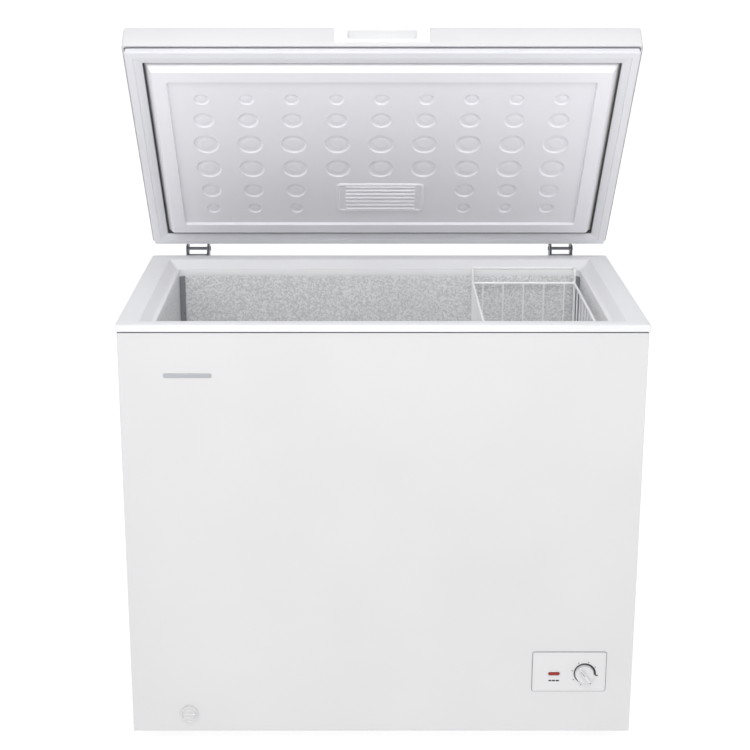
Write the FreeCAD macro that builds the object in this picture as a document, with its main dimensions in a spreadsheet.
import FreeCAD, Part
import math
import os
import Sketcher

# Chest freezer with a spring hinged lid, a hanging wire basket and a side compressor bay.
# Part frame: +Z up from the floor, the front faces -Y, X = 0 is the middle of the cabinet.
# Lengths are millimetres.  Depths in the sheet are measured back from the front of the rim.

doc = FreeCAD.newDocument("ChestFreezer")
sheet = doc.addObject("Spreadsheet::Sheet", "Size")

SIZES = {
    # cabinet
    "overall_width": 905, "overall_depth": 541, "cabinet_height": 763, "foot_height": 20,
    "origin_setback": 291, "skin": 0.8, "rim_overhang": 3, "rim_lip": 12, "rim_height": 28,
    "rim_seam": 2.5,
    "side_wall": 60, "front_wall": 50, "back_wall": 60, "floor_wall": 65,
    "slope_run": 14, "slope_drop": 16, "ledge_width": 7,
    "liner_skin": 1, "liner_corner": 10, "step_width": 212, "bay_height": 230, "bay_wall": 45,
    "foot_radius": 19, "foot_inset": 60,
    # lid, described closed
    "lid_gap": 12, "lid_side_inset": 1.5, "lid_front_inset": 2.3, "lid_length": 536,
    "lid_height": 46, "lid_skin": 1, "lid_corner": 5, "lid_open": 50.9,
    "plateau_inset": 35, "plateau_run": 13, "plateau_drop": 17, "field_inset": 72,
    "field_depth": 5, "panel_skin": 3, "dimple_columns": 9, "dimple_depth": 2.4,
    "boss_width": 167, "boss_length": 81, "boss_height": 2.5, "boss_setback": 390,
    "rib_width": 4, "rib_count": 6, "rib_pitch": 10.5, "rib_proud": 1.5,
    "gasket_inset": 5, "gasket_width": 28.5, "gasket_gap": 0.4,
    "handle_width": 167, "handle_height": 37, "handle_proud": 2.5, "handle_wall": 2,
    "pocket_width": 121, "pocket_height": 21, "pocket_depth": 20, "handle_rise": 26,
    # hinges
    "hinge_inset": 90.5, "pin_setback": 17.3, "pin_rise": 10, "pin_radius": 3,
    "pin_clearance": 0.06, "hinge_width": 46, "hinge_sheet": 1.5, "hinge_drop": 130,
    "ear_back": 9, "ear_gap": 1.0, "cam_closed": 16, "cam_open": 6, "cam_sheet": 2.5,
    "plunger_width": 40, "plunger_height": 14, "plunger_depth": 9, "follower_gap": 1.0,
    "spring_radius": 6, "spring_wire": 1.1, "spring_length": 62, "spring_turns": 11,
    "screw_head": 4.2, "screw_proud": 2.5, "screw_inset": 12, "pin_head": 4.6, "pin_tail": 4,
    # controls and drain
    "control_inset": 116, "control_base": 81, "control_width": 131, "control_height": 76,
    "control_proud": 2, "knob_inset": 88.5, "knob_rise": 115.7, "knob_radius": 16.5,
    "knob_depth": 15, "knob_gap": 0.6, "shaft_radius": 3, "lamp_inset": 143.1,
    "lamp_length": 20.8, "lamp_width": 6.8, "lamp_proud": 1.2,
    "thermostat_width": 44, "thermostat_depth": 32, "thermostat_height": 36,
    "drain_inset": 105.5, "drain_rise": 35, "drain_cap_radius": 15.5, "drain_radius": 9,
    "drain_wall": 1.5, "drain_setback": 84, "drain_bend": 16,
    "plug_height": 9, "plug_stem": 4, "cap_stem": 8, "cap_proud": 4.5, "drain_gap": 0.3,
    # refrigeration
    "compressor_inset": 117.5, "compressor_setback": 345, "compressor_radius": 74,
    "compressor_height": 165, "tube_radius": 3, "evaporator_radius": 4,
    "capillary_radius": 1.2,
    "evaporator_turns": 5, "evaporator_pitch": 84, "evaporator_drop": 30,
    "condenser_passes": 8, "condenser_margin": 40, "pipe_bend": 6, "coil_bend": 22,
    "drier_radius": 9, "drier_length": 95, "grommet_radius": 9, "grommet_height": 14,
    "compressor_plate": 3, "compressor_foot": 22, "nut_radius": 6, "nut_height": 6,
    "starter_width": 52, "starter_height": 58, "starter_depth": 38,
    "louvre_count": 8, "vent_rows": 9, "gland_radius": 7.9, "gland_flange": 11,
    "gland_bore": 3.6, "gland_rise": 32,
    # basket
    "basket_width": 199, "basket_end_gap": 11.5, "basket_height": 200, "basket_drop": 39,
    "basket_hook": 20.5, "basket_frame_wire": 2.5, "basket_mesh_wire": 1.5,
    "hanger_wire": 2.2, "hanger_gap": 0.4,
}
for row, (alias, value) in enumerate(SIZES.items(), start=1):
    sheet.set("A%d" % row, alias.replace("_", " "))
    sheet.set("B%d" % row, str(value))
    sheet.setAlias("B%d" % row, alias)
doc.recompute()

MM = {}
for alias in SIZES:
    MM[alias] = float(getattr(sheet, alias))


def size(alias):
    return "Size." + alias


def value(expression):
    """The present value of an expression over the sheet."""
    return float(sheet.evalExpression(str(expression)))


def back(expression):
    """A depth behind the front of the rim, as a Y coordinate."""
    return "(%s) - Size.origin_setback" % expression


# Levels, depths and half widths that many pieces share
HALF = "(Size.overall_width / 2)"
BODY_HALF = "(Size.overall_width / 2 - Size.rim_overhang)"
FOAM_HALF = "(Size.overall_width / 2 - Size.rim_overhang - Size.skin)"
BODY_FRONT = "Size.rim_overhang"
FOAM_FRONT = "(Size.rim_overhang + Size.skin)"
FOAM_BACK = "(Size.overall_depth - Size.skin)"
BASE = "Size.foot_height"
FOAM_BASE = "(Size.foot_height + Size.skin)"
RIM_TOP = "(Size.foot_height + Size.cabinet_height)"
LIP_BASE = "(Size.foot_height + Size.cabinet_height - Size.rim_lip)"
RIM_BASE = "(Size.foot_height + Size.cabinet_height - Size.rim_height)"
LEDGE = "(Size.foot_height + Size.cabinet_height - Size.slope_drop)"
TUB_HALF = "(Size.overall_width / 2 - Size.side_wall)"
TUB_FRONT = "Size.front_wall"
TUB_BACK = "(Size.overall_depth - Size.back_wall)"
TUB_FLOOR = "(Size.foot_height + Size.floor_wall)"
STEP_FACE = "(Size.overall_width / 2 - Size.side_wall - Size.step_width)"
BAY_FACE = "(%s + Size.bay_wall)" % STEP_FACE
BAY_TOP = "(Size.foot_height + Size.bay_height)"
STEP_TOP = "(Size.foot_height + Size.bay_height + Size.bay_wall)"
DRAIN_OUTER = "(Size.drain_radius - 0.5)"
SKIN_TOP = "(Size.foot_height + Size.cabinet_height - Size.rim_lip - Size.rim_seam)"
DRAIN_X = "(Size.drain_inset - Size.overall_width / 2)"
CONTROL_X = "(Size.overall_width / 2 - Size.control_inset)"
KNOB_X = "(Size.overall_width / 2 - Size.knob_inset)"
LAMP_X = "(Size.overall_width / 2 - Size.lamp_inset)"
COMPRESSOR_X = "(Size.overall_width / 2 - Size.compressor_inset)"
HINGE_X = "(Size.overall_width / 2 - Size.hinge_inset)"
PIN_Y = back("Size.overall_depth + Size.pin_setback")
PIN_Z = "(%s + Size.pin_rise)" % RIM_TOP

nodes = []


def bind(item, **expressions):
    """Tie properties to the sheet; a dot in a property's path is written as two underscores."""
    for path, expression in expressions.items():
        item.setExpression(path.replace("__", "."), str(expression))
    return item


def place(item, x=0, y=0, z=0):
    return bind(item, Placement__Base__x=x, Placement__Base__y=y, Placement__Base__z=z)


def box(name, x, y, z):
    """A block between the low and high expressions given for each axis."""
    block = doc.addObject("Part::Box", name)
    bind(block, Length="(%s) - (%s)" % (x[1], x[0]))
    bind(block, Width="(%s) - (%s)" % (y[1], y[0]))
    bind(block, Height="(%s) - (%s)" % (z[1], z[0]))
    return place(block, x[0], y[0], z[0])


def around(centre, width):
    return ("(%s) - (%s) / 2" % (centre, width), "(%s) + (%s) / 2" % (centre, width))


TURNS = {
    "+X": FreeCAD.Rotation(FreeCAD.Vector(0, 1, 0), 90),
    "+Y": FreeCAD.Rotation(FreeCAD.Vector(1, 0, 0), -90),
    "-Y": FreeCAD.Rotation(FreeCAD.Vector(1, 0, 0), 90),
    "+Z": FreeCAD.Rotation(),
}


def rod(name, axis, x, y, z, radius, length):
    """A cylinder that starts at the given point and runs along the axis."""
    shaft = doc.addObject("Part::Cylinder", name)
    shaft.Placement = FreeCAD.Placement(FreeCAD.Vector(), TURNS[axis])
    bind(shaft, Radius=radius, Height=length)
    return place(shaft, x, y, z)


def fuse(name, *pieces):
    union = doc.addObject("Part::MultiFuse", name)
    union.Shapes = list(pieces)
    union.Refine = True
    return union


def cut(name, base, *tools):
    tool = tools[0] if len(tools) == 1 else fuse(name + "_tools", *tools)
    result = doc.addObject("Part::Cut", name)
    result.Base = base
    result.Tool = tool
    return result


def frustum(name, low, high, z):
    """A four sided taper: low and high are ((x0, x1), (y0, y1)) at the two levels of z."""
    wedge = doc.addObject("Part::Wedge", name)
    wedge.Placement = FreeCAD.Placement(FreeCAD.Vector(), FreeCAD.Rotation(FreeCAD.Vector(1, 0, 0), 90))
    # After a quarter turn about X the wedge's own Y runs up and its Z runs towards the front
    (x0, x1), (y0, y1) = low
    (u0, u1), (v0, v1) = high
    bind(wedge, Xmin=x0, Xmax=x1, Zmin="-(%s)" % y1, Zmax="-(%s)" % y0)
    bind(wedge, X2min=u0, X2max=u1, Z2min="-(%s)" % v1, Z2max="-(%s)" % v0)
    bind(wedge, Ymin=z[0], Ymax=z[1])
    return wedge


def round_upright_edges(name, item, radius, keep=None, crown=False):
    """Round the edges along Z; keep(x, y) picks some of them, crown adds the top edges."""
    doc.recompute()
    picked = []
    top = item.Shape.BoundBox.ZMax
    for number, edge in enumerate(item.Shape.Edges, start=1):
        start = edge.Vertexes[0].Point
        end = edge.Vertexes[-1].Point
        upright = abs(start.x - end.x) < 1e-6 and abs(start.y - end.y) < 1e-6
        if upright and (keep is None or keep(start.x, start.y)):
            picked.append((number, radius, radius))
        elif crown and min(start.z, end.z) > top - 1e-6:
            picked.append((number, radius, radius))
    rounded = doc.addObject("Part::Fillet", name)
    rounded.Base = item
    rounded.Edges = picked
    return rounded


def node(item, label):
    item.Label = label
    nodes.append(item)
    return item


def coded(name, shape):
    feature = doc.addObject("Part::Feature", name)
    feature.Shape = shape
    return feature


def plane_of(body, role):
    for feature in body.Origin.OriginFeatures:
        if feature.Role == role:
            return feature
    raise RuntimeError("no plane " + role)


def outline(body, name, role, points):
    """A closed sketch through points given as pairs of expressions."""
    sketch = body.newObject("Sketcher::SketchObject", name)
    sketch.AttachmentSupport = [(plane_of(body, role), "")]
    sketch.MapMode = "FlatFace"
    spots = [FreeCAD.Vector(value(u), value(v), 0) for u, v in points]
    count = len(points)
    for number in range(count):
        sketch.addGeometry(Part.LineSegment(spots[number], spots[(number + 1) % count]), False)
    for number in range(count):
        sketch.addConstraint(Sketcher.Constraint("Coincident", number, 2, (number + 1) % count, 1))
    for number, (u, v) in enumerate(points):
        for kind, axis, expression in (("DistanceX", -2, u), ("DistanceY", -1, v)):
            if str(expression) == "0":
                sketch.addConstraint(Sketcher.Constraint("PointOnObject", number, 1, axis))
            else:
                spot = value(expression)
                index = sketch.addConstraint(Sketcher.Constraint(kind, -1, 1, number, 1, spot))
                sketch.setExpression("Constraints[%d]" % index, str(expression))
    return sketch


def turned(name, points):
    """A PartDesign body: the profile (radius, height) revolved about Z."""
    body = doc.addObject("PartDesign::Body", name)
    sketch = outline(body, name + "_profile", "XZ_Plane", points)
    revolution = body.newObject("PartDesign::Revolution", name + "_turn")
    revolution.Profile = sketch
    revolution.ReferenceAxis = (sketch, ["V_Axis"])
    revolution.Angle = 360
    return body


def padded(name, role, points, thickness, pockets=()):
    """A PartDesign body: an outline padded, then pockets of the same depth cut through it."""
    body = doc.addObject("PartDesign::Body", name)
    pad = body.newObject("PartDesign::Pad", name + "_pad")
    pad.Profile = outline(body, name + "_outline", role, points)
    bind(pad, Length=thickness)
    doc.recompute()
    for number, corners in enumerate(pockets):
        pocket = body.newObject("PartDesign::Pocket", "%s_opening%d" % (name, number))
        pocket.Profile = outline(body, "%s_hole%d" % (name, number), role, corners)
        pocket.Type = "ThroughAll"
        pocket.Midplane = True
        doc.recompute()
    return body


def rectangle(u, v):
    return [(u[0], v[0]), (u[1], v[0]), (u[1], v[1]), (u[0], v[1])]


def bent_path(points, bend):
    """Straight runs through the points, joined by tangent arcs as large as bend or the runs allow."""
    edges = []
    start = points[0]
    for before, corner, after in zip(points, points[1:], points[2:]):
        arriving = (corner - before).normalize()
        leaving = (after - corner).normalize()
        turn = arriving.getAngle(leaving)
        shorter = min((corner - before).Length, (after - corner).Length)
        radius = min(bend, 0.45 * shorter / math.tan(turn / 2))
        reach = radius * math.tan(turn / 2)
        first = corner - arriving * reach
        last = corner + leaving * reach
        inward = (leaving - arriving).normalize()
        centre = corner + inward * (radius / math.cos(turn / 2))
        middle = centre - inward * radius
        edges.append(Part.LineSegment(start, first).toShape())
        edges.append(Part.Arc(first, middle, last).toShape())
        start = last
    edges.append(Part.LineSegment(start, points[-1]).toShape())
    return Part.Wire(edges)


def tube(points, bend, radius):
    path = bent_path(points, bend)
    arriving = (points[1] - points[0]).normalize()
    section = Part.Wire(Part.makeCircle(radius, points[0], arriving))
    return path.makePipeShell([section], True, True)


def spot(x, y, z):
    return FreeCAD.Vector(value(x), value(y), value(z))


# ---------------------------------------------------------------- cabinet skin and base

def cabinet_skin():
    front = box("front_sheet", ("-" + BODY_HALF, BODY_HALF), (back(BODY_FRONT), back(FOAM_FRONT)),
                (BASE, SKIN_TOP))
    window_x = (LAMP_X + " - Size.lamp_length", KNOB_X + " + Size.shaft_radius * 4")
    window = box("control_window", window_x, (back("0"), back("Size.front_wall")),
                 around(BASE + " + Size.knob_rise", "Size.shaft_radius * 8"))
    drain = rod("drain_window", "+Y", DRAIN_X, back("0"), BASE + " + Size.drain_rise",
                "Size.drain_radius", size("front_wall"))
    node(cut("front_panel", front, window, drain), "cabinet_front_panel")

    for side, sign in (("left", "-1"), ("right", "1")):
        middle = "%s * (%s - Size.skin / 2)" % (sign, BODY_HALF)
        sheet_box = box(side + "_sheet", around(middle, size("skin")),
                        (back(FOAM_FRONT), back("Size.overall_depth")), (BASE, SKIN_TOP))
        if side == "left":
            node(sheet_box, "cabinet_left_panel")
            continue
        slots = []
        for number in range(int(MM["louvre_count"])):
            level = "%s + Size.bay_height * %g" % (BASE, 0.25 + 0.075 * number)
            slots.append(box("louvre%d" % number, (FOAM_HALF + " - 1", BODY_HALF + " + 1"),
                             around(back("Size.compressor_setback"), "Size.overall_depth * 0.3"),
                             around(level, "Size.bay_height * 0.025")))
        node(cut("right_sheet_vented", sheet_box, *slots), "cabinet_right_panel")

    rear = box("rear_sheet", ("-" + FOAM_HALF, FOAM_HALF), (back(FOAM_BACK), back("Size.overall_depth")),
               (BASE, LIP_BASE))
    bay = box("rear_bay_opening", (BAY_FACE, BODY_HALF),
              (back(FOAM_BACK + " - 1"), back("Size.overall_depth + 1")), (BASE, BAY_TOP))
    node(cut("rear_panel", rear, bay), "cabinet_back_panel")

    node(box("floor_sheet", ("-" + FOAM_HALF, BAY_FACE), (back(FOAM_FRONT), back(FOAM_BACK)),
             (BASE, FOAM_BASE)), "base_pan")

    grille = box("grille_sheet", (BAY_FACE, FOAM_HALF), (back(FOAM_BACK), back("Size.overall_depth")),
                 (BASE, BAY_TOP))
    vents = []
    for column in range(2):
        middle = "%s + (%s - %s) * %g" % (BAY_FACE, FOAM_HALF, BAY_FACE, 0.28 + 0.44 * column)
        for number in range(int(MM["vent_rows"])):
            level = "%s + Size.bay_height * %g" % (BASE, 0.3 + 0.075 * number)
            vents.append(box("vent%d_%d" % (column, number),
                             around(middle, "(%s - %s) * 0.36" % (FOAM_HALF, BAY_FACE)),
                             (back(FOAM_BACK + " - 1"), back("Size.overall_depth + 1")),
                             around(level, "Size.bay_height * 0.03")))
    vents.append(rod("gland_hole", "+Y", GLAND_X, back(FOAM_BACK + " - 1"), GLAND_Z,
                     "Size.gland_radius + 0.1", "Size.skin + 2"))
    node(cut("grille", grille, *vents), "rear_grille")


GLAND_X = "(%s + Size.gland_rise)" % BAY_FACE
GLAND_Z = "(Size.foot_height + Size.gland_rise)"


def base_fittings():
    tray = box("tray_plate", (BAY_FACE, FOAM_HALF), (back(FOAM_FRONT), back(FOAM_BACK)),
               (BASE, BASE + " + Size.hinge_sheet"))
    node(tray, "compressor_tray")

    feet = []
    profile = [("0", "0"), ("Size.foot_radius * 0.85", "0"), ("Size.foot_radius", "3"),
               ("Size.foot_radius", "7"), ("Size.foot_radius * 0.45", "9"),
               ("Size.foot_radius * 0.45", size("foot_height")), ("0", size("foot_height"))]
    for number, (sx, sy) in enumerate(((-1, 0), (1, 0), (-1, 1), (1, 1))):
        foot = turned("foot%d" % number, profile)
        depth = "Size.foot_inset" if sy == 0 else "Size.overall_depth - Size.foot_inset"
        place(foot, "%d * (%s - Size.foot_inset)" % (sx, HALF), back(depth), "0")
        feet.append(foot)
    node(fuse("feet", *feet), "levelling_feet")

    gland = fuse("gland",
                 rod("gland_body", "+Y", GLAND_X, back("Size.overall_depth - Size.gland_flange"), GLAND_Z,
                     "Size.gland_radius", "Size.gland_flange * 1.5"),
                 rod("gland_flange", "+Y", GLAND_X, back("Size.overall_depth"), GLAND_Z,
                     "Size.gland_flange", "Size.gland_flange * 0.3"))
    bore = rod("gland_bore", "+Y", GLAND_X, back("Size.overall_depth - Size.gland_flange * 2"), GLAND_Z,
               "Size.gland_bore", "Size.gland_flange * 4")
    node(cut("gland_hollow", gland, bore), "power_cord_gland")

    screws = []
    for sx in (0.06, 0.94):
        for sz in (0.08, 0.93):
            x = "%s + (%s - %s) * %g" % (BAY_FACE, FOAM_HALF, BAY_FACE, sx)
            z = "%s + Size.bay_height * %g" % (BASE, sz)
            screws.append(rod("grille_screw_%g_%g" % (sx, sz), "+Y", x, back("Size.overall_depth"), z,
                              size("screw_head"), size("screw_proud")))
    node(fuse("grille_screw_set", *screws), "rear_grille_screws")


# ---------------------------------------------------------------- insulation, liner and rim

def drain_route():
    x = DRAIN_X
    depth = back("Size.drain_setback")
    level = BASE + " + Size.drain_rise"
    return [spot(x, depth, TUB_FLOOR + " - Size.liner_skin"), spot(x, depth, level),
            spot(x, back(BODY_FRONT), level)]


def insulation():
    up = (FOAM_BASE, RIM_BASE)
    channel = coded("drain_channel", tube(drain_route(), MM["drain_bend"], value(DRAIN_OUTER)))
    liner_side = "(%s + Size.liner_skin)" % TUB_HALF
    liner_front = "(%s - Size.liner_skin)" % TUB_FRONT
    liner_back = "(%s + Size.liner_skin)" % TUB_BACK
    for name, y in (("front", (back(FOAM_FRONT), back(liner_front))),
                    ("back", (back(liner_back), back(FOAM_BACK)))):
        slab = box("foam_%s_slab" % name, ("-" + FOAM_HALF, FOAM_HALF), y, up)
        bay = box("foam_%s_bay" % name, (BAY_FACE, BODY_HALF), (y[0] + " - 1", y[1] + " + 1"),
                  (BASE, BAY_TOP))
        tools = [bay, channel] if name == "front" else [bay]
        node(cut("foam_%s_cut" % name, slab, *tools), "foam_" + name)
    inside = (back(liner_front), back(liner_back))
    node(box("foam_left_slab", ("-" + FOAM_HALF, "-" + liner_side), inside, up), "foam_left")
    node(box("foam_right_slab", (liner_side, FOAM_HALF), inside, (BAY_TOP, RIM_BASE)), "foam_right")
    riser_face = "(%s + Size.liner_skin)" % STEP_FACE
    floor = box("foam_floor_slab", ("-" + liner_side, riser_face), inside,
                (FOAM_BASE, TUB_FLOOR + " - Size.liner_skin"))
    node(cut("foam_floor_cut", floor, channel), "foam_floor")
    riser = box("foam_riser", (riser_face, BAY_FACE), inside, (FOAM_BASE, STEP_TOP + " - Size.liner_skin"))
    shelf = box("foam_shelf", (BAY_FACE, liner_side), inside, (BAY_TOP, STEP_TOP + " - Size.liner_skin"))
    node(fuse("foam_step_block", riser, shelf), "foam_step")


def liner():
    def tub(name, grow, top):
        grow_by = "Size.liner_skin * %d" % grow
        whole = box(name + "_space", ("-%s - %s" % (TUB_HALF, grow_by), "%s + %s" % (TUB_HALF, grow_by)),
                    (back("%s - %s" % (TUB_FRONT, grow_by)), back("%s + %s" % (TUB_BACK, grow_by))),
                    ("%s - %s" % (TUB_FLOOR, grow_by), top))
        rounded = round_upright_edges(name + "_round", whole, MM["liner_corner"] + grow * MM["liner_skin"])
        hump = box(name + "_hump", ("%s + %s" % (STEP_FACE, grow_by), HALF),
                   (back("0"), back("Size.overall_depth")), (BASE, "%s - %s" % (STEP_TOP, grow_by)))
        return cut(name, rounded, hump)

    outer = tub("liner_outer", 1, RIM_BASE)
    inner = tub("liner_inner", 0, RIM_BASE + " + 5")
    hole = rod("liner_drain_hole", "+Z", DRAIN_X, back("Size.drain_setback"),
               TUB_FLOOR + " - Size.liner_skin - 1", "Size.drain_radius", "Size.liner_skin + 2")
    node(cut("liner_shell", outer, inner, hole), "inner_liner")


def rim():
    slab = box("rim_slab", ("-" + HALF, HALF), (back("0"), back("Size.overall_depth")), (LIP_BASE, RIM_TOP))
    collar = box("rim_collar", ("-" + FOAM_HALF, FOAM_HALF), (back(FOAM_FRONT), back(FOAM_BACK)),
                 (RIM_BASE, LIP_BASE + " + 1"))
    mouth = box("rim_mouth", ("-" + TUB_HALF, TUB_HALF), (back(TUB_FRONT), back(TUB_BACK)),
                (RIM_BASE + " - 5", RIM_TOP + " + 5"))
    rounded = round_upright_edges("rim_mouth_round", mouth, MM["liner_corner"])
    foot_in = "Size.ledge_width"
    top_in = "(Size.ledge_width + Size.slope_run)"

    def around_mouth(inset):
        return (("-%s - %s" % (TUB_HALF, inset), "%s + %s" % (TUB_HALF, inset)),
                (back("%s - %s" % (TUB_FRONT, inset)), back("%s + %s" % (TUB_BACK, inset))))

    funnel = frustum("rim_funnel", around_mouth(foot_in), around_mouth(top_in), (LEDGE, RIM_TOP))
    node(cut("rim_ring", fuse("rim_block", slab, collar), rounded, funnel), "rim_frame")


# ---------------------------------------------------------------- refrigeration circuit

def refrigeration():
    cx, cy = COMPRESSOR_X, back("Size.compressor_setback")
    base = "(%s + Size.hinge_sheet)" % BASE
    band_z = "(%s + Size.compressor_foot + Size.compressor_height / 2)" % base
    port_length = "(Size.compressor_height / 2 + 10)"
    top = "(%s + %s)" % (band_z, port_length)
    crossing = "(%s + 14)" % top
    drier_x = "(%s + 24)" % BAY_FACE
    drier_y = back("Size.overall_depth - 40")
    drier_z = "(%s + 70)" % BASE
    hot_x = "(%s + 45)" % BAY_FACE

    outside = "Size.liner_skin + Size.evaporator_radius + 1"
    x = "(%s + %s)" % (TUB_HALF, outside)
    front = back("%s - (%s)" % (TUB_FRONT, outside))
    rear = back("%s + %s" % (TUB_BACK, outside))
    inlet_z = "%s - Size.evaporator_drop * 0.6" % RIM_BASE
    points = [spot("0", rear, inlet_z)]
    turns = int(MM["evaporator_turns"])
    for turn in range(turns):
        level = "%s - Size.evaporator_drop - Size.evaporator_pitch * %d" % (RIM_BASE, turn)
        points += [spot("-" + x, rear, level), spot("-" + x, front, level), spot(x, front, level),
                   spot(x, rear, level)]
    outlet = "%s - Size.evaporator_drop - Size.evaporator_pitch * %g" % (RIM_BASE, turns - 0.75)
    points += [spot(drier_x, rear, outlet), spot(drier_x, rear, crossing + " + 12")]
    # The coil follows the liner's rounded corners
    bend = MM["liner_corner"] + MM["liner_skin"] + MM["evaporator_radius"]
    node(coded("evaporator", tube(points, bend, MM["evaporator_radius"])), "evaporator_tube")

    plane = back(FOAM_BACK + " - Size.tube_radius - 2")
    passes = int(MM["condenser_passes"])
    low = "(%s + Size.condenser_margin)" % BASE
    step = "((%s - Size.condenser_margin * 1.5 - %s) / %d)" % (RIM_BASE, low, passes - 1)
    points = [spot(drier_x, drier_y, drier_z), spot(drier_x, drier_y, low), spot(drier_x, plane, low)]
    for number in range(passes):
        level = "%s + %s * %d" % (low, step, number)
        ends = [spot("%s - Size.condenser_margin" % BAY_FACE, plane, level),
                spot("-%s + Size.condenser_margin" % FOAM_HALF, plane, level)]
        if number % 2:
            ends.reverse()
        if number == 0:
            ends = ends[1:]
        if number == passes - 1:
            ends = ends[:1]
        points += ends
    join = plane + " - Size.condenser_margin"
    points += [spot(hot_x, plane, level), spot(hot_x, plane, crossing), spot(hot_x, join, crossing)]
    node(coded("condenser", tube(points, MM["coil_bend"], MM["tube_radius"])), "condenser_tube")

    domes = []
    for name, share in (("upper", 0.5), ("lower", 0.46)):
        dome = doc.addObject("Part::Ellipsoid", "compressor_%s_dome" % name)
        bind(dome, Radius1="Size.compressor_height * %g" % share, Radius2="Size.compressor_radius",
             Radius3="Size.compressor_radius")
        domes.append(place(dome, cx, cy, band_z))
    band = rod("compressor_band", "+Z", cx, cy, band_z + " - 5", "Size.compressor_radius + 2.5", "10")
    plate_z = base + " + Size.grommet_height"
    plate = box("compressor_plate", around(cx, "Size.compressor_radius * 2.4"),
                around(cy, "Size.compressor_radius * 1.7"), (plate_z, plate_z + " + Size.compressor_plate"))
    leg = rod("compressor_leg", "+Z", cx, cy, plate_z + " + 1", "Size.compressor_radius * 0.55",
              "Size.compressor_foot * 2")
    port_x = cx + " - 20"
    ports = [rod("compressor_port%s" % offset.strip(" +-"), "+Z", port_x, cy + offset, band_z,
                 "Size.tube_radius * 1.5", port_length) for offset in (" - 20", " + 25")]
    node(fuse("compressor_can", domes[0], domes[1], band, plate, leg, *ports), "compressor")

    grommets, nuts = [], []
    for number, (sx, sy) in enumerate(((-1, -1), (1, -1), (-1, 1), (1, 1))):
        gx = "%s + %d * Size.compressor_radius * 1.05" % (cx, sx)
        gy = "%s + %d * Size.compressor_radius * 0.7" % (cy, sy)
        grommets.append(rod("grommet%d" % number, "+Z", gx, gy, base, size("grommet_radius"),
                            size("grommet_height")))
        nuts.append(rod("nut%d" % number, "+Z", gx, gy, plate_z + " + Size.compressor_plate",
                        size("nut_radius"), size("nut_height")))
    node(fuse("grommet_set", *grommets), "compressor_grommets")
    node(fuse("nut_set", *nuts), "compressor_nuts")
    node(box("starter_box", around(cx, "Size.starter_width"),
             (cy + " - Size.compressor_radius - Size.starter_depth",
              cy + " - Size.compressor_radius - 2.5"),
             around(band_z + " - Size.starter_height / 10", "Size.starter_height")), "starter_cover")
    node(rod("drier", "+Z", drier_x, drier_y, drier_z, size("drier_radius"), size("drier_length")),
         "filter_drier")

    suction = [spot(port_x, cy + " - 20", top), spot(port_x, cy + " - 20", crossing),
               spot(drier_x, cy + " - 20", crossing), spot(drier_x, rear, crossing),
               spot(drier_x, rear, crossing + " + 12")]
    node(coded("suction", tube(suction, MM["pipe_bend"], MM["tube_radius"])), "suction_tube")
    discharge = [spot(port_x, cy + " + 25", top), spot(port_x, cy + " + 25", crossing),
                 spot(hot_x, cy + " + 25", crossing), spot(hot_x, join, crossing)]
    node(coded("discharge", tube(discharge, MM["pipe_bend"], MM["tube_radius"])), "discharge_tube")
    capillary = [spot(drier_x, drier_y, drier_z + " + Size.drier_length"), spot(drier_x, drier_y, inlet_z),
                 spot("Size.condenser_margin", drier_y, inlet_z), spot("0", rear, inlet_z)]
    node(coded("capillary", tube(capillary, MM["pipe_bend"] * 2, MM["capillary_radius"])), "capillary_tube")


# ---------------------------------------------------------------- controls and drain

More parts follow.
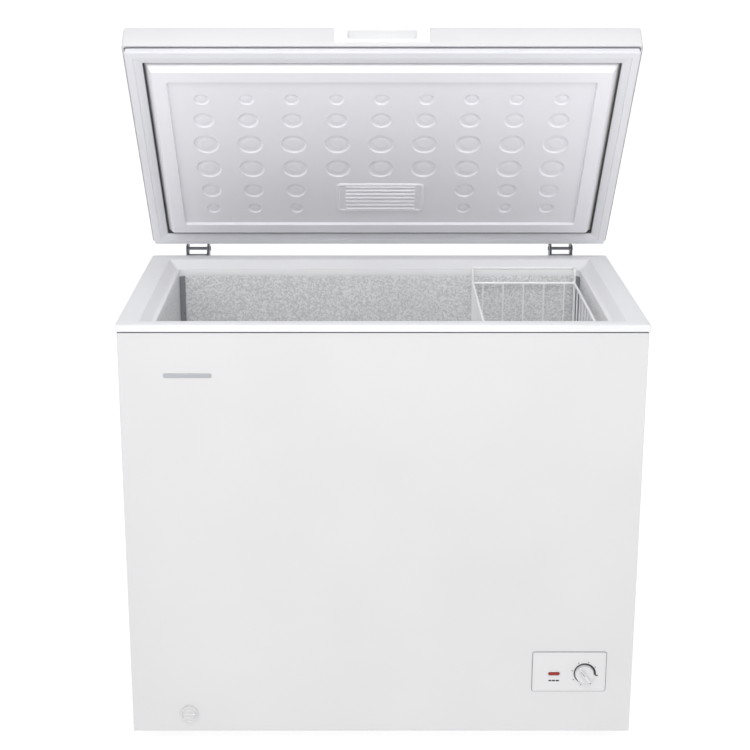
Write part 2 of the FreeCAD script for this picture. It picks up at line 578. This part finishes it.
def controls():
    low = BASE + " + Size.control_base"
    high = low + " + Size.control_height"
    lamp_z = BASE + " + Size.knob_rise"
    # The plate's sketch plane is the front: its second axis is Z
    lamp_gap = rectangle(around(LAMP_X, "Size.lamp_length"), around(lamp_z, "Size.lamp_width"))
    shaft_gap = rectangle(around(KNOB_X, "Size.shaft_radius * 2 + 1"),
                          around(lamp_z, "Size.shaft_radius * 2 + 1"))
    face = rectangle(around(CONTROL_X, "Size.control_width"), (low, high))
    plate = padded("control_plate", "XZ_Plane", face, "Size.control_proud", [lamp_gap, shaft_gap])
    place(plate, 0, back(BODY_FRONT), 0)
    node(plate, "control_panel_plate")

    lens = box("lens", around(LAMP_X, "Size.lamp_length"),
               (back(BODY_FRONT + " - Size.control_proud - Size.lamp_proud"), back(BODY_FRONT)),
               around(lamp_z, "Size.lamp_width"))
    holder = box("lamp_holder", around(LAMP_X, "Size.lamp_length * 0.85"),
                 (back(BODY_FRONT), back(BODY_FRONT + " + Size.lamp_proud * 10")),
                 around(lamp_z, "Size.lamp_width * 0.85"))
    node(fuse("lamp", lens, holder), "indicator_lamp")

    body_front = FOAM_FRONT + " + 1"
    case = box("thermostat_case", around(KNOB_X, "Size.thermostat_width"),
               (back(body_front), back(body_front + " + Size.thermostat_depth")),
               around(lamp_z, "Size.thermostat_height"))
    face = "(%s - Size.control_proud - Size.knob_gap)" % BODY_FRONT
    shaft = rod("thermostat_shaft", "-Y", KNOB_X, back(body_front + " + 2"), lamp_z,
                "Size.shaft_radius", "(%s + 2) - (%s) + Size.knob_depth * 0.6" % (body_front, face))
    node(fuse("thermostat", case, shaft), "thermostat_body")

    bore = "Size.shaft_radius + Size.pin_clearance"
    profile = [(bore, "0"), ("Size.knob_radius", "0"), ("Size.knob_radius", "Size.knob_depth * 0.2"),
               ("Size.knob_radius * 0.9", "Size.knob_depth * 0.3"),
               ("Size.knob_radius * 0.82", "Size.knob_depth * 0.93"),
               ("Size.knob_radius * 0.74", size("knob_depth")), ("0", size("knob_depth")),
               ("0", "Size.knob_depth * 0.6 + Size.knob_gap"),
               (bore, "Size.knob_depth * 0.6 + Size.knob_gap")]
    knob = turned("knob", profile)
    knob.Placement = FreeCAD.Placement(FreeCAD.Vector(), TURNS["-Y"])
    place(knob, KNOB_X, back(face), lamp_z)
    node(knob, "thermostat_knob")


def drain():
    z = BASE + " + Size.drain_rise"
    wall = tube(drain_route(), MM["drain_bend"], value(DRAIN_OUTER))
    hollow = tube(drain_route(), MM["drain_bend"], value(DRAIN_OUTER) - MM["drain_wall"])
    node(coded("drain_pipe", wall.cut(hollow)), "drain_tube")

    stem = "%s - Size.drain_wall - Size.drain_gap" % DRAIN_OUTER
    cap = turned("cap", [("0", "-Size.cap_stem"), (stem, "-Size.cap_stem"), (stem, "0"),
                         ("Size.drain_cap_radius", "0"), ("Size.drain_cap_radius", "Size.cap_proud * 0.55"),
                         ("Size.drain_cap_radius * 0.9", size("cap_proud")), ("0", size("cap_proud"))])
    cap.Placement = FreeCAD.Placement(FreeCAD.Vector(), TURNS["-Y"])
    place(cap, DRAIN_X, back(BODY_FRONT + " - Size.drain_gap"), z)
    node(cap, "drain_cap")

    cover = "Size.drain_radius + Size.plug_stem + 1"
    low, high = "-Size.plug_height", size("plug_height")
    grip = size("plug_stem")
    plug = turned("plug", [("0", low), (stem, low), (stem, "0"), (cover, "0"), (cover, "2"), (grip, "3.5"),
                           (grip, high), ("0", high)])
    place(plug, DRAIN_X, back("Size.drain_setback"), TUB_FLOOR + " + Size.drain_gap")
    node(plug, "drain_plug")


# ---------------------------------------------------------------- lid
# Lid pieces are drawn closed, in a local frame whose origin is the hinge pin, and then
# each is turned about the pin by the opening angle.

LID_FRONT = "(Size.lid_front_inset)"
LID_BACK = "(Size.lid_front_inset + Size.lid_length)"
LID_HALF = "(Size.overall_width / 2 - Size.lid_side_inset)"
SKIRT = "(Size.lid_gap - Size.pin_rise)"


def lid_y(depth):
    return "(%s) - Size.overall_depth - Size.pin_setback" % depth


def lid_z(height):
    """A height above the lid's skirt edge."""
    return "%s + (%s)" % (SKIRT, height)


def lid_ring(inset):
    return (("-%s + %s" % (LID_HALF, inset), "%s - %s" % (LID_HALF, inset)),
            (lid_y("%s + %s" % (LID_FRONT, inset)), lid_y("%s - %s" % (LID_BACK, inset))))


def lid_block(name, inset, low, high):
    x, y = lid_ring(inset)
    return box(name, x, y, (lid_z(low), lid_z(high)))


def open_up(item):
    """Turn a finished lid piece about the hinge pin to the open rest pose."""
    item.Placement = FreeCAD.Placement(FreeCAD.Vector(), FreeCAD.Rotation(FreeCAD.Vector(1, 0, 0), -30))
    bind(item, Placement__Rotation__Angle="Size.lid_open", Placement__Rotation__Axis__x="-1")
    return place(item, 0, PIN_Y, PIN_Z)


def lid():
    pocket_x = ("-Size.pocket_width / 2 - Size.handle_wall", "Size.pocket_width / 2 + Size.handle_wall")
    pocket_z = ("Size.handle_rise - Size.pocket_height / 2 - Size.handle_wall",
                "Size.handle_rise + Size.pocket_height / 2 + Size.handle_wall")
    cup_back = "%s + Size.pocket_depth + Size.handle_wall" % LID_FRONT
    cavity = box("handle_cavity", pocket_x, (lid_y(LID_FRONT + " - 1"), lid_y(cup_back)),
                 (lid_z(pocket_z[0]), lid_z(pocket_z[1])))

    top = size("lid_height")
    outer = lid_block("lid_outer_block", "0", "0", top)
    outer = round_upright_edges("lid_outer_round", outer, MM["lid_corner"], crown=True)
    inner = lid_block("lid_inner_block", "Size.lid_skin", "-1", "Size.lid_height - Size.lid_skin")
    inner_corner = MM["lid_corner"] - MM["lid_skin"]
    inner = round_upright_edges("lid_inner_round", inner, inner_corner, crown=True)
    node(open_up(cut("lid_shell", outer, inner, cavity)), "lid_outer_shell")

    flange = lid_block("panel_flange", "Size.lid_skin", "0", "Size.panel_skin")
    flange = round_upright_edges("panel_flange_round", flange, inner_corner)
    wide = "Size.plateau_inset"
    narrow = "(Size.plateau_inset + Size.plateau_run)"
    plateau = frustum("plateau", lid_ring(narrow), lid_ring(wide),
                      (lid_z("-Size.plateau_drop"), lid_z("1")))
    field_level = "(Size.field_depth - Size.plateau_drop)"
    field = lid_block("panel_field", size("field_inset"), "-Size.plateau_drop - 1", field_level)
    back_level = "%s + Size.panel_skin" % field_level
    inside = (lid_ring(narrow + " + Size.panel_skin"), lid_ring(wide + " + Size.panel_skin"))
    hollow = frustum("panel_hollow", inside[0], inside[1],
                     (lid_z(back_level), lid_z("Size.panel_skin + 1")))
    dimples = []
    # Each row: its share of the lid's length, the dimple radius, whether the boss takes the middle
    rows = ((0.225, 13.5, False), (0.3255, 18.7, False), (0.4445, 23.5, False), (0.5695, 23.5, False),
            (0.6865, 18.7, True), (0.783, 13.5, True))
    half_count = int(MM["dimple_columns"]) // 2
    pitch = "(Size.overall_width - Size.field_inset * 2) * 0.1055"
    for row_number, (share, radius, beside_boss) in enumerate(rows):
        for column in range(-half_count, half_count + 1):
            if beside_boss and abs(column) < 2:
                continue
            name = "dimple%d_%d" % (row_number, column + half_count)
            dimples.append(rod(name, "+Z", "%s * %d" % (pitch, column),
                               lid_y("%s + Size.lid_length * %g" % (LID_FRONT, share)),
                               lid_z(field_level + " - 1"), str(radius), "1 + Size.dimple_depth"))
    boss_y = lid_y("Size.boss_setback")
    boss = box("boss", around("0", "Size.boss_width"), around(boss_y, "Size.boss_length"),
               (lid_z(field_level + " - Size.boss_height"), lid_z(field_level + " + 0.5")))
    ribs = []
    count = int(MM["rib_count"])
    for number in range(count):
        rib_y = "%s + Size.rib_pitch * %g" % (boss_y, number - (count - 1) / 2)
        rib_top = lid_z(field_level + " - Size.boss_height - Size.rib_proud")
        ribs.append(box("rib%d" % number, around("0", "Size.boss_width * 0.8"),
                        around(rib_y, "Size.rib_width"), (rib_top, lid_z(field_level))))
    pan = cut("panel_pan", fuse("panel_block", flange, plateau), field, hollow)
    pan = cut("panel_dimpled", pan, *dimples)
    node(open_up(fuse("panel_whole", pan, boss, *ribs)), "lid_inner_panel")

    filling = lid_block("foam_block", "Size.lid_skin", "Size.panel_skin", "Size.lid_height - Size.lid_skin")
    filling = round_upright_edges("foam_block_round", filling, inner_corner, crown=True)
    belly = frustum("foam_belly", inside[0], inside[1], (lid_z(back_level), lid_z("Size.panel_skin + 1")))
    node(open_up(cut("foam_fill", fuse("foam_fill_block", filling, belly), cavity)), "lid_foam")

    seal = lid_block("seal_block", "Size.gasket_inset", "Size.gasket_gap - Size.lid_gap", "0")
    seal = round_upright_edges("seal_round", seal, MM["lid_corner"])
    middle = lid_block("seal_middle", "(Size.gasket_inset + Size.gasket_width)", "-Size.lid_gap - 1", "1")
    outside = lid_block("seal_groove_out", "(Size.gasket_inset - 1)", "-Size.lid_gap * 0.55",
                        "-Size.lid_gap * 0.4")
    groove = cut("seal_groove", outside,
                 lid_block("seal_groove_in", "(Size.gasket_inset + 2.5)", "-Size.lid_gap", "1"))
    node(open_up(cut("seal", seal, middle, groove)), "lid_gasket")

    frame = box("handle_frame", around("0", "Size.handle_width"),
                (lid_y(LID_FRONT + " - Size.handle_proud"), lid_y(LID_FRONT)),
                (lid_z("Size.handle_rise - Size.handle_height / 2"),
                 lid_z("Size.handle_rise + Size.handle_height / 2")))
    cup = box("handle_cup", pocket_x, (lid_y(LID_FRONT + " - 1"), lid_y(cup_back)),
              (lid_z(pocket_z[0]), lid_z(pocket_z[1])))
    space = box("handle_space", around("0", "Size.pocket_width"),
                (lid_y(LID_FRONT + " - Size.handle_proud - 1"), lid_y(LID_FRONT + " + Size.pocket_depth")),
                around(lid_z("Size.handle_rise"), "Size.pocket_height"))
    node(open_up(cut("handle", fuse("handle_block", frame, cup), space)), "lid_handle")


# ---------------------------------------------------------------- hinges

def cam_outline(x):
    """The cam that works the spring: its radius shrinks evenly as the lid opens."""
    closed, opened = MM["cam_closed"], MM["cam_open"]
    points = []
    steps = 24
    for number in range(steps + 1):
        turn = math.radians(90) * number / steps
        radius = closed + (opened - closed) * number / steps
        points.append(FreeCAD.Vector(x, radius * math.sin(turn), -radius * math.cos(turn)))
    curve = Part.BSplineCurve()
    curve.interpolate(points)
    heel = [FreeCAD.Vector(x, math.sin(a) * r, -math.cos(a) * r)
            for a, r in ((math.radians(100), opened), (math.radians(180), opened * 1.6),
                         (math.radians(-50), closed), (math.radians(-25), closed))]
    edges = [curve.toShape()]
    corners = [points[-1]] + heel + [points[0]]
    for start, end in zip(corners, corners[1:]):
        edges.append(Part.LineSegment(start, end).toShape())
    return Part.Face(Part.Wire(edges))


def hinge(side, sign):
    middle = "%d * %s" % (sign, HINGE_X)
    half = "Size.hinge_width / 2"
    steel = "Size.hinge_sheet"
    rear = "Size.overall_depth"
    pin_depth = "Size.overall_depth + Size.pin_setback"

    def at(offset):
        return "%s + (%s)" % (middle, offset)

    web = box(side + "_web", (at("-" + half), at(half)), (back(rear), back(rear + " + " + steel)),
              (RIM_TOP + " - Size.hinge_drop", RIM_TOP + " - Size.rim_lip"))
    ears = []
    for name, edge in (("inner", "-" + half), ("outer", "%s - %s" % (half, steel))):
        ear = box("%s_%s_ear" % (side, name), (at(edge), at(edge + " + " + steel)),
                  (back(rear), back(pin_depth + " + Size.ear_back")),
                  (RIM_TOP + " - Size.hinge_drop", PIN_Z + " + Size.ear_back"))
        ears.append(ear)
    seat_z = "%s - Size.cam_closed - Size.plunger_height - Size.spring_length - Size.spring_radius" % PIN_Z
    seat = box(side + "_spring_seat", (at("-" + half), at(half)),
               (back(rear), back(pin_depth + " + Size.ear_back")), (seat_z + " - 2", seat_z))
    holes = [rod(side + "_ear_hole", "+X", at("-Size.hinge_width"), PIN_Y, PIN_Z, "Size.pin_radius",
                 "Size.hinge_width * 2")]
    node(cut(side + "_bracket", fuse(side + "_bracket_block", web, seat, *ears), *holes),
         "hinge_cabinet_bracket_" + side)

    pin = rod(side + "_pin_shaft", "+X", at("-%s - 1" % half), PIN_Y, PIN_Z, "Size.pin_radius",
              "Size.hinge_width + 2")
    heads = [rod(side + "_pin_head", "+X", at(half), PIN_Y, PIN_Z, size("pin_head"), "2"),
             rod(side + "_pin_peen", "+X", at("-%s - 1.5" % half), PIN_Y, PIN_Z, size("pin_tail"), "1.5")]
    node(fuse(side + "_pin", pin, *heads), "hinge_pin_" + side)

    inner_half = "(Size.hinge_width / 2 - Size.hinge_sheet - Size.ear_gap)"
    lid_web = box(side + "_lid_web", (at("-" + inner_half), at(inner_half)),
                  (lid_y(LID_BACK), lid_y(LID_BACK + " + " + steel)),
                  (lid_z("Size.lid_height * 0.4"), lid_z("Size.lid_height - 6")))
    arms = []
    low_edges = ("-" + inner_half, "-" + inner_half)
    high_edges = (inner_half + " - " + steel, inner_half + " - Size.cam_sheet")
    for name, (edge, cam_edge) in (("inner", low_edges), ("outer", high_edges)):
        label = "%s_%s" % (side, name)
        arm = box(label + "_arm", (at(edge), at(edge + " + " + steel)),
                  (lid_y(LID_BACK), size("cam_open")),
                  ("-Size.ear_back + 1", lid_z("Size.lid_height - 6")))
        nose = box(label + "_nose", (at(edge + " - 1"), at(edge + " + %s + 1" % steel)),
                   ("-Size.pin_setback - 20", "-Size.pin_setback + 0.6"), ("-20", lid_z("0.6")))
        arms.append(cut(label + "_arm_cut", arm, nose))
        cam = cam_outline(value(at(cam_edge))).extrude(FreeCAD.Vector(MM["cam_sheet"], 0, 0))
        arms.append(coded(label + "_cam", cam))
    pivot = rod(side + "_lid_hole", "+X", at("-Size.hinge_width"), "0", "0",
                "Size.pin_radius + Size.pin_clearance", "Size.hinge_width * 2")
    block = fuse(side + "_lid_bracket_block", lid_web, *arms)
    node(open_up(cut(side + "_lid_bracket", block, pivot)), "hinge_lid_bracket_" + side)

    # Rest radius of the cam, straight below the pin
    travel = "((Size.cam_closed - Size.cam_open) * Size.lid_open / 90)"
    top = "%s - (Size.cam_closed - %s) - Size.follower_gap" % (PIN_Z, travel)
    depth = around(PIN_Y, "Size.plunger_depth")
    crown = rod(side + "_follower", "+X", at("-Size.plunger_width / 2"), PIN_Y, top + " - 3", "3",
                "Size.plunger_width")
    block = box(side + "_plunger_block", around(middle, "Size.plunger_width"), depth,
                (top + " - Size.plunger_height", top + " - 3"))
    node(fuse(side + "_plunger", crown, block), "hinge_plunger_" + side)

    turns = int(MM["spring_turns"])
    spring_base = value(seat_z) + 0.2
    length = value(top + " - Size.plunger_height") - 0.2 - spring_base
    radius, wire = MM["spring_radius"], MM["spring_wire"]
    helix = Part.makeHelix((length - 2 * wire) / turns, length - 2 * wire, radius)
    section = Part.Wire(Part.makeCircle(wire, FreeCAD.Vector(radius, 0, 0), FreeCAD.Vector(0, 1, 0)))
    coil = Part.Wire(helix.Edges).makePipeShell([section], True, True)
    spring = coded(side + "_spring", coil)
    spring.Placement = FreeCAD.Placement(FreeCAD.Vector(value(middle), value(PIN_Y), spring_base + wire),
                                         FreeCAD.Rotation())
    node(spring, "hinge_spring_" + side)


def hinges():
    for side, sign in (("left", -1), ("right", 1)):
        hinge(side, sign)
    cabinet_screws, lid_screws = [], []
    for side, sign in (("left", -1), ("right", 1)):
        middle = "%d * %s" % (sign, HINGE_X)
        for number, x in enumerate(("-Size.hinge_width / 4", "Size.hinge_width / 4")):
            spot_x = "%s + (%s)" % (middle, x)
            cabinet_screws.append(rod("%s_cabinet_screw%d" % (side, number), "+Y", spot_x,
                                      back("Size.overall_depth + Size.hinge_sheet"),
                                      RIM_TOP + " - Size.hinge_drop + Size.screw_inset",
                                      size("screw_head"), size("screw_proud")))
            face = lid_y(LID_BACK + " + Size.hinge_sheet")
            head = rod("%s_lid_screw%d" % (side, number), "+Y", spot_x, face,
                       lid_z("Size.lid_height - Size.screw_inset"), size("screw_head"), size("screw_proud"))
            lid_screws.append(head)
    node(fuse("cabinet_screw_set", *cabinet_screws), "hinge_cabinet_screws")
    node(open_up(fuse("lid_screw_set", *lid_screws)), "hinge_lid_screws")


# ---------------------------------------------------------------- basket

BASKET_RIGHT = "(%s - Size.basket_end_gap)" % TUB_HALF
BASKET_LEFT = "(%s - Size.basket_width)" % BASKET_RIGHT
HOOK_INSET = "(Size.ledge_width / 2)"
BASKET_FRONT = "(%s - %s + Size.basket_hook)" % (TUB_FRONT, HOOK_INSET)
BASKET_BACK = "(%s + %s - Size.basket_hook)" % (TUB_BACK, HOOK_INSET)
BASKET_TOP = "(%s - Size.basket_drop)" % RIM_TOP
BASKET_FLOOR = "(%s - Size.basket_height)" % BASKET_TOP


def grid(name, axis_u, axis_v, fixed, u, v, count_u, count_v, frame_wires):
    """A flat welded panel: its share of the frame wires, and thinner wires spaced evenly across it.

    axis_u and axis_v are the panel's two directions, fixed is the coordinate of its plane.
    """
    order = ("+X", "+Y", "+Z")
    normal = [axis for axis in order if axis not in (axis_u, axis_v)][0]

    def wire(label, axis, along, across, radius, lift="0"):
        spots = {normal: "%s + (%s)" % (fixed, lift), axis: along[0]}
        spots[axis_v if axis == axis_u else axis_u] = across
        return rod("%s_%s" % (name, label), axis, spots["+X"], spots["+Y"], spots["+Z"], radius,
                   "(%s) - (%s)" % (along[1], along[0]))

    frame, mesh = "Size.basket_frame_wire", "Size.basket_mesh_wire"
    long_u = ("(%s) - %s" % (u[0], frame), "(%s) + %s" % (u[1], frame))
    edges = {"low": (axis_u, long_u, v[0]), "high": (axis_u, long_u, v[1]),
             "start": (axis_v, v, u[0]), "end": (axis_v, v, u[1])}
    wires = [wire(label, *edges[label], frame) for label in frame_wires]
    for number in range(count_u):
        across = "(%s) + ((%s) - (%s)) * %g" % (u[0], u[1], u[0], (number + 0.5) / count_u)
        wires.append(wire("v%d" % number, axis_v, v, across, mesh, mesh + " * 0.6"))
    for number in range(count_v):
        across = "(%s) + ((%s) - (%s)) * %g" % (v[0], v[1], v[0], (number + 0.5) / count_v)
        wires.append(wire("u%d" % number, axis_u, u, across, mesh, "-%s * 0.6" % mesh))
    return fuse(name, *wires)


def basket():
    x = (BASKET_LEFT, BASKET_RIGHT)
    y = (back(BASKET_FRONT), back(BASKET_BACK))
    z = (BASKET_FLOOR, BASKET_TOP)
    along, across, tall = 10, 5, 1
    whole, sides = ("low", "high", "start", "end"), ("high", "start", "end")
    node(grid("floor_grid", "+X", "+Y", BASKET_FLOOR, x, y, across, along, whole), "basket_floor")
    node(grid("left_grid", "+Y", "+Z", BASKET_LEFT, y, z, along, tall, sides), "basket_left_side")
    node(grid("right_grid", "+Y", "+Z", BASKET_RIGHT, y, z, along, tall, sides), "basket_right_side")
    front = grid("front_grid", "+X", "+Z", back(BASKET_FRONT), x, z, across, tall, ("high",))
    rear = grid("back_grid", "+X", "+Z", back(BASKET_BACK), x, z, across, tall, ("high",))
    node(front, "basket_front_side")
    node(rear, "basket_back_side")

    wire = MM["hanger_wire"]
    rest = "(%s + Size.hanger_wire + Size.hanger_gap)" % LEDGE
    for name, start, sign in (("front", BASKET_FRONT, "-"), ("back", BASKET_BACK, "+")):
        hook = back("%s %s Size.basket_hook" % (start, sign))
        post = back(start)
        path = [spot(BASKET_LEFT, post, BASKET_TOP), spot(BASKET_LEFT, post, rest),
                spot(BASKET_LEFT, hook, rest), spot(BASKET_RIGHT, hook, rest),
                spot(BASKET_RIGHT, post, rest), spot(BASKET_RIGHT, post, BASKET_TOP)]
        node(coded("hanger_" + name, tube(path, MM["pipe_bend"] + 1, wire)), "basket_hanger_" + name)


# ---------------------------------------------------------------- build, check and write

sections = (cabinet_skin, base_fittings, insulation, liner, rim, refrigeration, controls, drain, lid,
            hinges, basket)
for section in sections:
    section()
doc.recompute()

for item in doc.Objects:
    if "Invalid" in item.State or "Error" in item.State:
        raise RuntimeError("%s failed: %s" % (item.Name, item.State))

os.makedirs("parts", exist_ok=True)
labels = set()
for item in nodes:
    if item.Shape.isNull() or not item.Shape.isValid() or not item.Shape.Solids:
        raise RuntimeError("%s has no valid solid" % item.Label)
    if item.Label in labels:
        raise RuntimeError("two pieces are called %s" % item.Label)
    labels.add(item.Label)
    item.Shape.exportStep("parts/%s.step" % item.Label)
    print("%-32s %d solids %12.0f mm3" % (item.Label, len(item.Shape.Solids), item.Shape.Volume))
print(len(nodes), "nodes")
